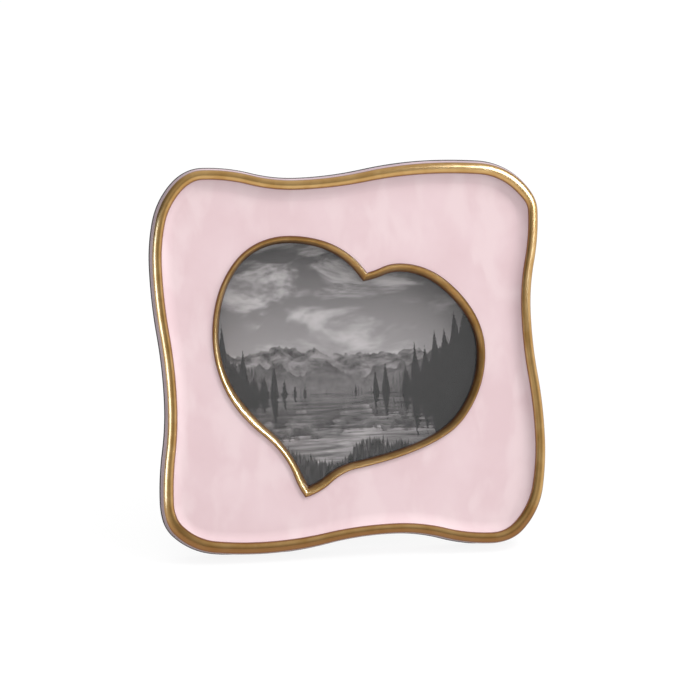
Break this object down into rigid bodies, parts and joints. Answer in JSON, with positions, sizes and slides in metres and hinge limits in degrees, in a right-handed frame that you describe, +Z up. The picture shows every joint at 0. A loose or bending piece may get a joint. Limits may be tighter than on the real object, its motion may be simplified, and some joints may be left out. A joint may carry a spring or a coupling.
{
  "type": "photo frame",
  "caption": "Wavy square photo frame with a gilt rim, a pink enamel face and a tilted heart-shaped window, glazed, with a door at the back and a folding easel strut.",
  "frame": {"origin": "centre of the bounding box's footprint, on the table", "axes": "+Z up, the face looks towards -Y and leans back, +X to the right as the viewer sees it"},
  "size_m": [0.146, 0.0672, 0.1419],
  "materials": {
    "gilt_casting": "cast alloy, polished and gold plated",
    "pink_enamel": "glossy pale pink enamel, faintly brushed",
    "clear_glass": "clear picture glass",
    "photo_paper": "black and white print on photo paper",
    "grey_card": "plain grey card",
    "black_board": "fibreboard, stained black",
    "black_velvet": "short pile velvet",
    "brass_fittings": "stamped brass, lacquered",
    "steel_screws": "plated steel",
    "satin_ribbon": "black satin ribbon"
  },
  "bodies": {
    "frame": {"frame_casting": "gilt_casting", "enamel_field": "pink_enamel", "enamel_edge": "pink_enamel", "window_glass": "clear_glass", "photo_print": "photo_paper", "filler_card": "grey_card", "back_board": "black_board", "board_velvet": "black_velvet", "door_panel": "black_board", "door_velvet": "black_velvet", "turn_button_screws": "steel_screws", "hinge_leaf_door": "brass_fittings", "hinge_rivets_door": "brass_fittings", "hinge_pin": "steel_screws", "ribbon_stay": "satin_ribbon", "ribbon_eyelet_door": "brass_fittings"},
    "strut": {"hinge_leaf_strut": "brass_fittings", "hinge_rivets_strut": "brass_fittings", "easel_strut": "black_board", "strut_velvet": "black_velvet", "ribbon_eyelet_strut": "brass_fittings"},
    "turn_button_top_left": {"turn_button_top_left": "brass_fittings"},
    "turn_button_top_right": {"turn_button_top_right": "brass_fittings"},
    "turn_button_low_left": {"turn_button_low_left": "brass_fittings"},
    "turn_button_low_right": {"turn_button_low_right": "brass_fittings"}
  },
  "joints": [
    {"name": "strut_hinge", "type": "hinge", "parent": "frame", "child": "strut", "pos_m": [0, 0.00749, 0.10209], "axis": [1, 0, 0], "range_deg": [-28, 0], "deforming": ["ribbon_stay"]},
    {"name": "turn_button_top_left_pivot", "type": "hinge", "parent": "frame", "child": "turn_button_top_left", "pos_m": [-0.0585, 0.00352, 0.09277], "axis": [0, -0.9703, 0.2419], "range_deg": [0, 90]},
    {"name": "turn_button_top_right_pivot", "type": "hinge", "parent": "frame", "child": "turn_button_top_right", "pos_m": [0.0585, 0.00352, 0.09277], "axis": [0, -0.9703, 0.2419], "range_deg": [-90, 0]},
    {"name": "turn_button_low_left_pivot", "type": "hinge", "parent": "frame", "child": "turn_button_low_left", "pos_m": [-0.0585, -0.01003, 0.03844], "axis": [0, -0.9703, 0.2419], "range_deg": [-90, 0]},
    {"name": "turn_button_low_right_pivot", "type": "hinge", "parent": "frame", "child": "turn_button_low_right", "pos_m": [0.0585, -0.01003, 0.03844], "axis": [0, -0.9703, 0.2419], "range_deg": [0, 90]}
  ]
}
